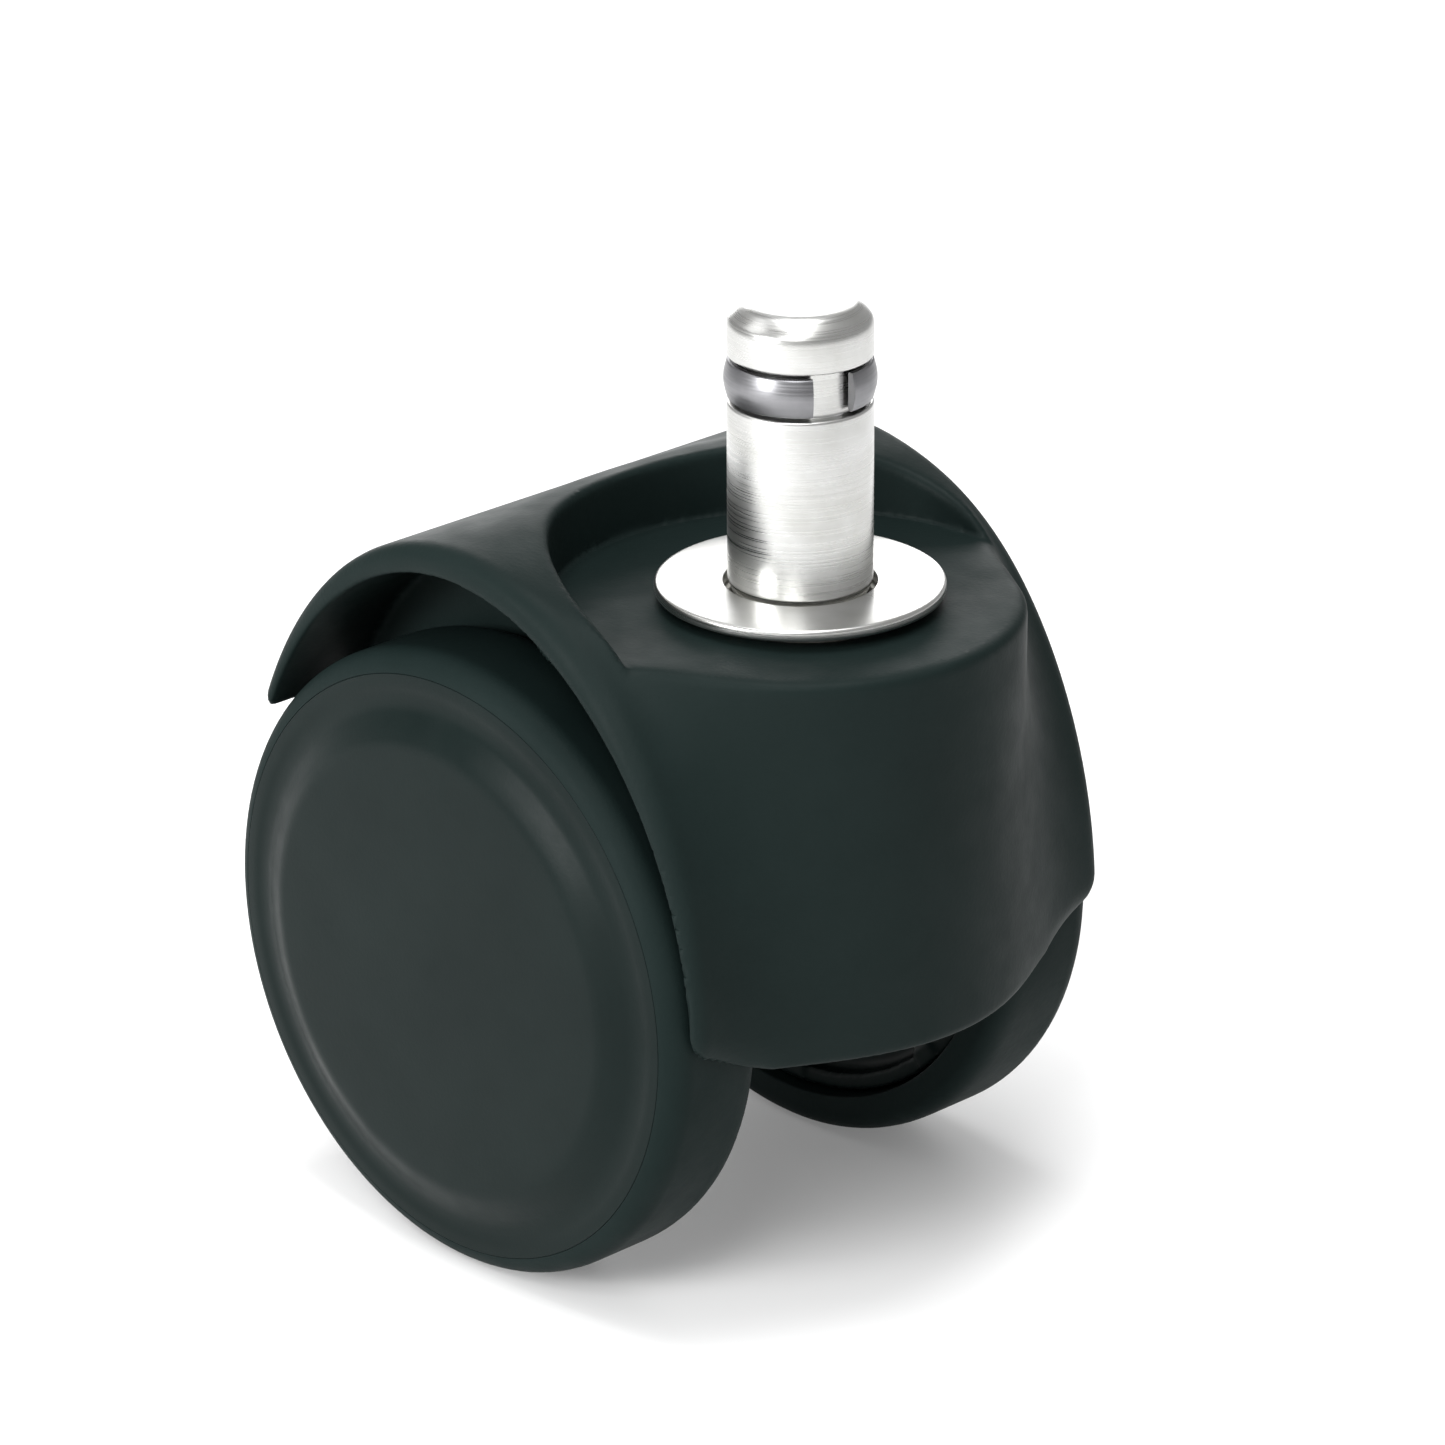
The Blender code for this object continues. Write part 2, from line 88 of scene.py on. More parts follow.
def mesh_object(name, bm, crease=None):
    """A smooth-shaded object from a bmesh in millimetres; edges over the crease angle stay crisp."""
    bmesh.ops.scale(bm, vec=(MM, MM, MM), verts=bm.verts)
    mesh = bpy.data.meshes.new(name)
    bm.to_mesh(mesh)
    bm.free()
    piece = bpy.data.objects.new(name, mesh)
    bpy.context.scene.collection.objects.link(piece)
    mesh.shade_smooth()
    if crease:
        mesh.set_sharp_from_angle(angle=math.radians(crease))
    return piece


def eased(profile, steps):
    """Round each (radius, along, ease) corner of a profile, over half of its edges at most."""
    result = []
    count = len(profile)
    for i, (radius, along, ease) in enumerate(profile):
        corner = np.array((radius, along))
        if ease == 0.0:
            result.append(tuple(corner))
            continue
        before = np.array(profile[i - 1][:2]) - corner
        after = np.array(profile[(i + 1) % count][:2]) - corner
        start = corner + before * min(ease / np.linalg.norm(before), 0.5)
        end = corner + after * min(ease / np.linalg.norm(after), 0.5)
        for k in range(steps + 1):
            t = k / steps
            point = (1 - t) ** 2 * start + 2 * t * (1 - t) * corner + t * t * end
            result.append(tuple(point))
    return result


def turned(name, profile, sides, sweep=360.0, place=None):
    """Turn a profile of (radius, along) points about Z, then move it by the place matrix."""
    bm = bmesh.new()
    points = [bm.verts.new((radius, 0.0, along)) for radius, along in profile]
    ends_on_axis = profile[0][0] == 0.0 and profile[-1][0] == 0.0
    if sweep < 360.0:
        bm.faces.new(points)
        outline = bm.faces[:] + bm.edges[:] + bm.verts[:]
    else:
        pairs = list(zip(points, points[1:]))
        if not ends_on_axis:
            pairs.append((points[-1], points[0]))
        outline = [bm.edges.new(pair) for pair in pairs] + points
    bmesh.ops.spin(bm, geom=outline, cent=(0, 0, 0), axis=(0, 0, 1), angle=math.radians(sweep),
                   steps=sides, use_merge=sweep == 360.0)
    bmesh.ops.remove_doubles(bm, verts=bm.verts, dist=WELD)
    bmesh.ops.delete(bm, geom=[edge for edge in bm.edges if not edge.link_faces], context="EDGES")
    bmesh.ops.recalc_face_normals(bm, faces=bm.faces)
    if place:
        bm.transform(place)
    return mesh_object(name, bm, CREASE)


def ring(name, inner, outer, low, high, ease, sweep=360.0, place=None):
    """A plain ring with eased corners."""
    profile = eased([(inner, low, ease), (outer, low, ease), (outer, high, ease), (inner, high, ease)], 3)
    return turned(name, profile, RING_SIDES, sweep, place)


def arc(centre, radius, start, end, steps):
    """Points on a circle between two angles in degrees, both ends included."""
    angles = np.radians(np.linspace(start, end, steps + 1))
    return [(centre[0] + radius * math.cos(a), centre[1] + radius * math.sin(a)) for a in angles]


# ---------------------------------------------------------------- distance fields, for the moulded shapes

PROBE = 0.05                   # a field's slope is measured over this share of a cell, each way
PULLS = 6                      # rounds in which points move onto the surface
LONGEST_PULL = 0.6             # of a cell, in one round
LEAST_SLOPE = 0.05             # squared; where a field is flatter, points move less than the whole way
TINY = 1e-9                    # keeps a divisor above zero


def blend_union(a, b, radius):
    """Union of two distances with a fillet."""
    share = np.clip(0.5 + 0.5 * (b - a) / radius, 0.0, 1.0)
    return b + (a - b) * share - radius * share * (1 - share)


def ease_cut(a, b, radius):
    """Intersection of two distances with a rounded edge."""
    return -blend_union(-a, -b, radius)


def rounded_cut(a, b, radius):
    """Intersection of two distances with a circular rounding of the edge."""
    return np.minimum(np.maximum(a, b) + radius, 0.0) - radius + \
        np.hypot(np.maximum(a + radius, 0.0), np.maximum(b + radius, 0.0))


def slab(value, middle, half):
    """Distance to the layer that reaches half its thickness to both sides of the middle."""
    return np.abs(value - middle) - half


def all_of(*distances):
    """Intersection of any number of distances, with crisp edges."""
    return np.maximum.reduce(np.broadcast_arrays(*distances))


def ellipse_cylinder(x, z, half_x, half_z):
    """Distance to an elliptical cylinder, close to true near its surface."""
    k0 = np.sqrt((x / half_x) ** 2 + (z / half_z) ** 2) + TINY
    k1 = np.sqrt((x / half_x ** 2) ** 2 + (z / half_z ** 2) ** 2) + TINY
    return k0 * (k0 - 1.0) / k1


def pulled_on(points, field, cell):
    """Move points along a field's slope, until they lie on its zero level."""
    step = cell * PROBE
    for _ in range(PULLS):
        here = field(*points.T)
        slope = np.empty_like(points)
        for k in range(3):
            shift = np.zeros(3)
            shift[k] = step
            slope[:, k] = (field(*(points + shift).T) - field(*(points - shift).T)) / (2 * step)
        push = here / np.maximum((slope ** 2).sum(1), LEAST_SLOPE)
        move = slope * push[:, None]
        reach = np.linalg.norm(move, axis=1, keepdims=True)
        points = points - move * np.minimum(1.0, cell * LONGEST_PULL / np.maximum(reach, TINY))
    return points


def net_faces(inside, index):
    """A quad between the points of the four cells round each grid edge that crosses the surface."""
    quads = []
    for k in range(3):
        a, b = (k + 1) % 3, (k + 2) % 3
        here = [slice(1, -1)] * 3
        here[k] = slice(0, -1)
        ahead = list(here)
        ahead[k] = slice(1, None)
        first, second = inside[tuple(here)], inside[tuple(ahead)]
        for leaving in (True, False):
            base = np.argwhere(first & ~second if leaving else ~first & second)
            base[:, a] += 1
            base[:, b] += 1
            corners = []
            for da, db in ((-1, -1), (0, -1), (0, 0), (-1, 0)):
                cell_at = base.copy()
                cell_at[:, a] += da
                cell_at[:, b] += db
                corners.append(index[cell_at[:, 0], cell_at[:, 1], cell_at[:, 2]])
            quads.append(np.stack(corners if leaving else corners[::-1], 1))
    return np.concatenate(quads)


def surface_net(name, field, low, high, cell, place=None):
    """Mesh the zero level of a distance field: one point in each cell that it crosses, moved onto it."""
    axes = [np.arange(low[k] - 1.5 * cell, high[k] + 2.0 * cell, cell) for k in range(3)]
    inside = field(*np.meshgrid(*axes, indexing="ij")) < 0
    cells_along = np.array(inside.shape) - 1
    corners_in = np.zeros(cells_along, np.int8)
    for offset in np.ndindex(2, 2, 2):
        window = tuple(slice(offset[k], offset[k] + cells_along[k]) for k in range(3))
        corners_in += inside[window]
    crossed = (corners_in > 0) & (corners_in < 8)
    index = np.full(cells_along, -1, np.int64)
    index[crossed] = np.arange(crossed.sum())
    cells = np.argwhere(crossed)
    middles = np.stack([axes[k][cells[:, k]] + cell / 2 for k in range(3)], 1)

    points = pulled_on(middles, field, cell)
    if place is not None:
        points = points @ np.array(place.to_3x3()).T + np.array(place.translation)
    mesh = bpy.data.meshes.new(name)
    mesh.from_pydata((points * MM).tolist(), [], net_faces(inside, index).tolist())
    mesh.validate()
    mesh.shade_smooth()
    piece = bpy.data.objects.new(name, mesh)
    bpy.context.scene.collection.objects.link(piece)
    return piece


# ---------------------------------------------------------------- hood

HOOD_CELL = 0.36               # size of the grid that the hood is meshed on
OUTSIDE, INSIDE = 0, 1         # faces of the arch

ARCH_TOP = (33.6, 31.3)        # crown above the axle, outside and inside
ARCH_FRONT = (26.6, 25.6)      # front of the arch before the axle
ARCH_BACK = (25.2, 24.1)       # the same behind the axle
ARCH_END = math.radians(151.5)
ARCH_EDGE = 1.5                # rounding of the arches' outer edges
LIP_EDGE = 0.35                # rounding of the lips' inner edges, over the wheels
LIP_CORNER = 3.0               # rounding of the lips' lower front corners
LOWER_EDGE = 0.9               # rounding of the skirt's and the back lip's lower edges
LIP_RISE = (14.5, 2.0)         # from this |Y| outwards the skirt's lower edge rises, by this much
SKIRT_Z = height(22.6)

NECK_TOP = height(53.2)
NECK_EDGE = 1.1                # rounding of the neck's upper edge
NECK_TRIM = 0.1                # the blend with the arches swells the neck by about this much
NECK_BLEND = 7.0               # fillet between the arches and the neck
NECK_SPARE = 6.0               # the neck runs this far below the skirt, before the lower edge is cut
SPOT_R = 18.9                  # recess round the neck's top
SPOT_EDGE = 0.7

WEB_HALF = 12.5                # half width of the casing between the wheels
WALL = 2.0
POCKET_CEILING = height(51.2)
POCKET_CEILING_R = 20.3
HOLLOW_TOP = height(50.9)
HOLLOW_EDGE = 0.6

STEM_BOSS_R = 10.4
STEM_BOSS_DROP = 0.6           # from the neck's top down to the boss
AXLE_BOSS_R = 6.6
CHIN_R = AXLE_BOSS_R + 3.0     # rounded lower end of the casing, round the axle
CHIN_FILLET = 1.0
BOSS_FILLET = 1.2
RIB_HALF = 0.8
RIB_INSET = 1.0                # ribs end this far inside the walls and the neck's top
RIB_FOOT = 4.0                 # from the skirt's lower edge up to the ribs
RIB_FILLET = 1.0
REAR_RIB = 18.0                # reach of the rear rib behind the axle
REAR_RIB_LOW = 1.0             # from the axle up to the rear rib
REAR_RIB_DROP = 5.0            # from the neck's top down to the rear rib
INNER_FILLET = 0.9             # between bosses, ribs and walls

BORE_R = 7.2
BORE_EDGE = 0.4
LOWER_SEAT = height(30.5)
UPPER_SEAT = height(43.3)
FLANGE_SEAT = height(51.1)
FLANGE_SEAT_R = 8.7
SHANK_BORE_R = 5.6
AXLE_BORE_R = 3.3


def arch_field(x, z, face, shrink=0.0):
    """Distance to the arch's side profile: an ellipse over the axle, straight down in front of it."""
    across = x - AXLE_X
    up = np.maximum(z - AXLE_Z, 0.0)
    half = np.where(across > 0, ARCH_FRONT[face], ARCH_BACK[face]) - shrink
    return ellipse_cylinder(across, up, half, ARCH_TOP[face] - shrink)


def outer_form(x, z, side, radius):
    """Arches, neck and skirt, filled in, down to their lower edges."""
    rise = np.clip((side - LIP_RISE[0]) / (HOOD_HALF - LIP_RISE[0]), 0.0, 1.2) * LIP_RISE[1]
    above_skirt = SKIRT_Z + rise - z
    arches = rounded_cut(arch_field(x, z, OUTSIDE), side - HOOD_HALF, ARCH_EDGE)
    arches = rounded_cut(arches, np.where(x > AXLE_X, above_skirt, -LIP_CORNER), LIP_CORNER)
    neck = ease_cut(radius - NECK_R + NECK_TRIM, z - NECK_TOP, NECK_EDGE)
    form = blend_union(arches, np.maximum(neck, SKIRT_Z - NECK_SPARE - z), NECK_BLEND)

    end_x = AXLE_X + ARCH_BACK[INSIDE] * math.cos(ARCH_END)
    end_z = AXLE_Z + ARCH_TOP[INSIDE] * math.sin(ARCH_END)
    run = Vector((AXLE_X - end_x, SKIRT_Z - end_z)).normalized()
    above_lip = -((x - end_x) * -run.y + (z - end_z) * run.x)
    return ease_cut(form, np.where(x > AXLE_X, above_skirt, np.maximum(above_lip, above_skirt)), LOWER_EDGE)


def inner_hollow(x, z, side, radius):
    """The room inside the casing between the wheels."""
    back = np.maximum(arch_field(x, z, OUTSIDE, WALL), x)
    front = np.maximum(radius - (NECK_R - WALL), -x)
    return all_of(np.minimum(back, front), side - (WEB_HALF - WALL), z - HOLLOW_TOP)


def bosses_and_ribs(x, z, side, radius, from_axle):
    """The bosses round the stem and the axle, the cross of ribs and the rear rib."""
    stem_boss = all_of(radius - STEM_BOSS_R, SKIRT_Z - z, z - NECK_TOP + STEM_BOSS_DROP)
    axle_boss = np.maximum(from_axle - AXLE_BOSS_R, side - WEB_HALF)
    across = np.maximum(np.abs(x) - RIB_HALF, side - WEB_HALF + RIB_INSET)
    ahead = all_of(side - RIB_HALF, -x, x - NECK_R + RIB_INSET)
    cross = all_of(np.minimum(across, ahead), z - NECK_TOP + RIB_INSET, SKIRT_Z + RIB_FOOT - z)
    rear = all_of(side - RIB_HALF, AXLE_X - REAR_RIB - x, x - AXLE_X, AXLE_Z + REAR_RIB_LOW - z,
                  z - NECK_TOP + REAR_RIB_DROP, arch_field(x, z, OUTSIDE, WALL))
    return blend_union(blend_union(stem_boss, axle_boss, BOSS_FILLET), np.minimum(cross, rear), RIB_FILLET)


def bores(z, radius, from_axle):
    """The seats of the two swivel bushes, the shank's bore and the axle's bore."""
    lower = np.maximum(radius - BORE_R, z - LOWER_SEAT)
    upper = np.maximum(radius - BORE_R, UPPER_SEAT - z)
    flange = np.maximum(radius - FLANGE_SEAT_R, FLANGE_SEAT - z)
    return np.minimum.reduce([lower, upper, flange, radius - SHANK_BORE_R, from_axle - AXLE_BORE_R])


def hood_field(x, y, z):
    """The moulded hood as one distance field, in millimetres."""
    side = np.abs(y)
    radius = np.hypot(x, y)
    from_axle = np.hypot(x - AXLE_X, z - AXLE_Z)
    chin = np.maximum(from_axle - CHIN_R, side - WEB_HALF)
    body = blend_union(outer_form(x, z, side, radius), chin, CHIN_FILLET)

    ceiling = np.maximum(radius - POCKET_CEILING_R, POCKET_CEILING - z)
    pocket = all_of(arch_field(x, z, INSIDE), WEB_HALF - side, -ceiling)
    body = ease_cut(body, -pocket, LIP_EDGE)
    spot = np.maximum(radius - SPOT_R, NECK_TOP - z)
    body = ease_cut(body, -spot, SPOT_EDGE)

    body = ease_cut(body, -inner_hollow(x, z, side, radius), HOLLOW_EDGE)
    body = blend_union(body, bosses_and_ribs(x, z, side, radius, from_axle), INNER_FILLET)
    return ease_cut(body, -bores(z, radius, from_axle), BORE_EDGE)


def make_hood():
    """The visible hood, meshed from its field."""
    return surface_net("hood_moulding", hood_field, HOOD_LOW, HOOD_HIGH, HOOD_CELL)


# ---------------------------------------------------------------- wheels; t runs outwards along the axle

TREAD_NEAR = 13.6
NEAR_EASE = 2.2                # rounding of the wheel's inner corner
TREAD_IN_R = 21.9
CORNER_R = 2.2                 # rounding of the wheel's outer corner
CORNER_T = 20.65
STEP_T = 21.0                  # step in the tyre ring that the cover's rim sits in
SEAM = 0.03                    # visible joint between cover and tyre ring

COVER_R = 23.28
COVER_CROWN = 24.3
COVER_WALL = 1.6
SHOULDER = [(16.8, 24.06, 0.0), (18.0, 24.01, 0.7), (19.0, 23.62, 0.4),    # radius, t, ease
            (20.6, 22.84, 0.5), (21.6, 22.74, 0.4)]
DOME_STEPS = 12
RIM_START_R = 22.4             # from here the cover's rim follows the wheel's rounded corner
RIM_GAP = 0.3                  # over the step
SNAP_RIM_R = (18.9, 20.0)      # the rim inside the cover that holds it to the wheel core
SNAP_RIM_T = 18.4

CORE_CELL = 0.3                # size of the grid that the wheel core is meshed on
CORE_R = 21.6
CORE_FAR = 21.0
CORE_BORE_R = 4.8
HUB_NEAR, HUB_FAR = 13.5, 19.2
HUB_MID_R, HUB_WALL_HALF = 6.3, 1.5
WEB_T, WEB_WALL_HALF = 16.55, 0.65
WEB_IN_R = 5.0
RIM_T, RIM_HALF = 17.8, 3.2
RIM_WALL_HALF = 0.65
RIM_OVERLAP = 0.5              # web and spokes end this far inside the rim's outer face
SPOKES = 8
SPOKE_HALF = 0.9
SPOKE_T, SPOKE_DEPTH_HALF = 15.6, 1.0
SPOKE_IN_R = 5.5
CORE_FILLET = 0.9
SPOKE_FILLET = 0.8
CORE_EDGE = 0.3

WHEEL_RINGS = [                # piece, node, inner and outer radius, near and far t, ease, sweep
    ("hub_sleeve", "hub_bush", AXLE_BORE_R, 4.5, HUB_NEAR, HUB_FAR, 0.25, 360.0),
    ("spacer", "spacer_washer", AXLE_BORE_R, 6.2, 12.8, 13.2, 0.12, 360.0),
    ("clip", "axle_clip", 2.6, 4.6, 19.6, 20.2, 0.12, 290.0),
]


def corner_t(radius):
    """Distance out along the axle of the wheel's rounded outer corner at a radius."""
    across = max(radius - (WHEEL_R - CORNER_R), 0.0)
    return CORNER_T + math.sqrt(CORNER_R ** 2 - across ** 2)


def cover_profile():
    """Section of the domed cover, crown to rim, then back along the inside."""
    shoulder_r, shoulder_t = SHOULDER[0][:2]
    drop = COVER_CROWN - shoulder_t
    dome = [(shoulder_r * k / DOME_STEPS, COVER_CROWN - drop * (k / DOME_STEPS) ** 2, 0.0)
            for k in range(DOME_STEPS)]
    rim_low = STEP_T + RIM_GAP
    rim = [(RIM_START_R, corner_t(RIM_START_R) - 0.01, 0.3), (COVER_R, corner_t(COVER_R), 0.05),
           (COVER_R, rim_low, 0.1)]
    snap_in, snap_out = SNAP_RIM_R
    snap_rim = [(snap_out, rim_low, 0.1), (snap_out, SNAP_RIM_T, 0.1), (snap_in, SNAP_RIM_T, 0.1),
                (snap_in, shoulder_t - COVER_WALL - 0.7, 0.2)]
    inside = [(shoulder_r - 1.0, shoulder_t - COVER_WALL, 0.2),
              (shoulder_r / 2, COVER_CROWN - COVER_WALL, 0.0), (0.0, COVER_CROWN - COVER_WALL + 0.1, 0.0)]
    return eased(dome + SHOULDER + rim + snap_rim + inside, 6)


def tread_profile():
    """Section of the tyre ring with rounded corners."""
    step_r = COVER_R + SEAM
    corner_end = math.degrees(math.acos((step_r - WHEEL_R + CORNER_R) / CORNER_R))
    rounding = arc((WHEEL_R - CORNER_R, CORNER_T), CORNER_R, 0, corner_end, 14)
    corner = [(radius, t, 0.0) for radius, t in rounding]
    corner[-1] = (*corner[-1][:2], 0.04)
    near = [(TREAD_IN_R, TREAD_NEAR, 0.2), (WHEEL_R, TREAD_NEAR, NEAR_EASE)]
    return eased(near + corner + [(step_r, STEP_T, 0.1), (TREAD_IN_R, STEP_T, 0.1)], 7)


def core_field(x, y, t):
    """The wheel core about its own axis: hub, web, rim and spokes."""
    radius = np.hypot(x, y)
    hub = np.maximum(slab(radius, HUB_MID_R, HUB_WALL_HALF),
                     slab(t, (HUB_NEAR + HUB_FAR) / 2, (HUB_FAR - HUB_NEAR) / 2))
    web = all_of(radius - CORE_R + RIM_OVERLAP, WEB_IN_R - radius, slab(t, WEB_T, WEB_WALL_HALF))
    rim = np.maximum(slab(radius, CORE_R - RIM_WALL_HALF, RIM_WALL_HALF), slab(t, RIM_T, RIM_HALF))
    sector = 2 * math.pi / SPOKES
    angle = np.mod(np.arctan2(y, x) + sector / 2, sector) - sector / 2
    spoke = all_of(np.abs(radius * np.sin(angle)) - SPOKE_HALF, slab(t, SPOKE_T, SPOKE_DEPTH_HALF),
                   radius - CORE_R + RIM_OVERLAP, SPOKE_IN_R - radius)
    body = blend_union(blend_union(hub, web, CORE_FILLET), rim, CORE_FILLET)
    body = blend_union(body, spoke, SPOKE_FILLET)
    return ease_cut(body, CORE_BORE_R - radius, CORE_EDGE)


def wheel_place(sign):
    """Turns a piece made about Z, with Z outwards, onto the axle on the +Y or -Y side."""
    return Matrix.Translation((AXLE_X, 0.0, AXLE_Z)) @ Matrix.Rotation(math.radians(-90.0 * sign), 4, "X")


def make_wheels():
    """Both wheels with their small hardware, as a list of (piece, node)."""
    made = []
    core_low, core_high = (-CORE_R, -CORE_R, HUB_NEAR), (CORE_R, CORE_R, CORE_FAR)
    for side, sign in (("left_", 1), ("right_", -1)):
        place = wheel_place(sign)
        tyre = turned(side + "tyre_ring", tread_profile(), WHEEL_SIDES, place=place)
        cover = turned(side + "domed_cover", cover_profile(), WHEEL_SIDES, place=place)
        core = surface_net(side + "spoked_core", core_field, core_low, core_high, CORE_CELL, place)
        made += [(tyre, side + "tread"), (cover, side + "wheel_cover"), (core, side + "wheel_core")]
        for piece, node, *sizes in WHEEL_RINGS:
            made.append((ring(side + piece, *sizes, place=place), side + node))
    return made


# ---------------------------------------------------------------- stem, bushes and axle

TAIL_R = 4.9                   # the pin's lower end, below the snap ring
TAIL_TOP = -31.6
SNAP_GROOVE = (-31.55, -30.8)
SNAP_GROOVE_R = 4.25
SHANK_R = 5.0                  # the pin inside the hood
SHANK_TOP = -1.0
PLUG_R = 5.5                   # the pin over the collar, which the leg takes
PLUG_LOW = 0.15
GRIP_GROOVE = (14.3, 17.9)
GRIP_GROOVE_R = 4.7
TIP_BEVEL = 1.3

COLLAR_R = (5.8, 11.0)
COLLAR_LOW = -0.9

GRIP_Z = (14.6, 16.1, 17.6)    # the ring's lower edge, crown and upper edge
GRIP_IN_R, GRIP_EDGE_R, GRIP_CROWN_R = 5.0, 5.45, 5.85
GRIP_SWEEP = 325.0

SNAP_RING_R = (4.5, 6.3)
SNAP_RING = (height(23.4), height(23.8))
SNAP_SWEEP = 300.0

BUSH_R = (5.3, 6.9)
LOWER_BUSH = (height(24.2), height(30.2))
UPPER_BUSH = (height(43.6), height(52.4))
FLANGE_R = 8.4
FLANGE_DEPTH = 1.0
WASHER_R = (5.5, 8.2)
WASHER = (height(52.7), -1.2)

AXLE_R = 3.0
AXLE_HALF = 20.9
AXLE_GROOVE = (19.45, 20.35)
AXLE_GROOVE_R = 2.3


def pin_profile():
    """Section of the stem pin, from its lower end up to its tip."""
    tail = [(0.0, SHANK_END, 0.0), (TAIL_R, SHANK_END, 0.6), (TAIL_R, TAIL_TOP, 0.0)]
    groove = [(TAIL_R, SNAP_GROOVE[0], 0.1), (SNAP_GROOVE_R, SNAP_GROOVE[0], 0.1),
              (SNAP_GROOVE_R, SNAP_GROOVE[1], 0.1), (SHANK_R, SNAP_GROOVE[1], 0.1)]
    body = [(SHANK_R, SHANK_TOP, 0.3), (PLUG_R, PLUG_LOW, 0.3)]
    grip = [(PLUG_R, GRIP_GROOVE[0], 0.25), (GRIP_GROOVE_R, GRIP_GROOVE[0], 0.25),
            (GRIP_GROOVE_R, GRIP_GROOVE[1], 0.25), (PLUG_R, GRIP_GROOVE[1], 0.25)]
    tip = [(PLUG_R, STEM_TOP - TIP_BEVEL, 0.5), (PLUG_R - TIP_BEVEL, STEM_TOP, 0.5), (0.0, STEM_TOP, 0.0)]
    return eased(tail + groove + body + grip + tip, 4)


def collar_profile():
    """Section of the flat collar that the leg rests on."""
    inner, outer = COLLAR_R
    return eased([(inner, COLLAR_LOW, 0.1), (outer, COLLAR_LOW, 0.3), (outer, 0.0, 0.3),
                  (inner, 0.0, 0.15)], 4)


def grip_profile():
    """Section of the grip ring, crowned outwards."""
    low, crown, high = GRIP_Z
    return eased([(GRIP_IN_R, low, 0.15), (GRIP_EDGE_R, low, 0.15), (GRIP_CROWN_R, crown, 0.8),
                  (GRIP_EDGE_R, high, 0.15), (GRIP_IN_R, high, 0.15)], 5)


def flanged_profile():
    """Section of the upper swivel bush."""
    inner, outer = BUSH_R
    low, high = UPPER_BUSH
    under = high - FLANGE_DEPTH
    return eased([(inner, low, 0.2), (outer, low, 0.3), (outer, under, 0.15), (FLANGE_R, under, 0.25),
                  (FLANGE_R, high, 0.25), (inner, high, 0.3)], 3)


def axle_profile():
    """Section of the axle, grooved at both ends."""
    near, far = AXLE_GROOVE
    half = [(AXLE_R, near, 0.1), (AXLE_GROOVE_R, near, 0.05), (AXLE_GROOVE_R, far, 0.05), (AXLE_R, far, 0.1),
            (AXLE_R, AXLE_HALF, 0.4), (0.0, AXLE_HALF, 0.0)]
    return eased([(radius, -t, ease) for radius, t, ease in reversed(half)] + half, 3)


def make_stem():
    """Stem pieces, swivel bearing and axle, as a list of (piece, node)."""
    return [
        (turned("stem_steel", pin_profile(), STEM_SIDES), "stem_pin"),
        (turned("collar_steel", collar_profile(), STEM_SIDES), "stem_collar"),
        (turned("grip_spring", grip_profile(), STEM_SIDES, GRIP_SWEEP), "grip_ring"),
        (ring("snap_spring", *SNAP_RING_R, *SNAP_RING, 0.1, SNAP_SWEEP), "stem_snap_ring"),
        (turned("flanged_bush", flanged_profile(), STEM_SIDES), "upper_swivel_bush"),
        (ring("plain_bush", *BUSH_R, *LOWER_BUSH, 0.25), "lower_swivel_bush"),
        (ring("washer_disc", *WASHER_R, *WASHER, 0.15), "thrust_washer"),
        (turned("axle_rod", axle_profile(), RING_SIDES, place=wheel_place(1)), "axle"),
    ]


# ---------------------------------------------------------------- materials


def node_tree(name):
    """A material with a Principled shader, and functions that add nodes to it and link them."""
    made = bpy.data.materials.new(name)
    made.use_nodes = True
    tree = made.node_tree
    shader = tree.nodes["Principled BSDF"]

    def add(kind, inputs=None):
        node = tree.nodes.new(kind)
        for key, value in (inputs or {}).items():
            if isinstance(value, bpy.types.NodeSocket):
                tree.links.new(value, node.inputs[key])
            else:
                node.inputs[key].default_value = value
        return node

    return made, shader, add, tree.links.new


def ramp(add, factor, stops):
    """A colour ramp with two (position, value) stops."""
    node = add("ShaderNodeValToRGB", {"Fac": factor})
    for element, (position, value) in zip(node.color_ramp.elements, stops):
        element.position = position
        element.color = (*value, 1.0) if isinstance(value, tuple) else (value, value, value, 1.0)
    return node.outputs["Color"]


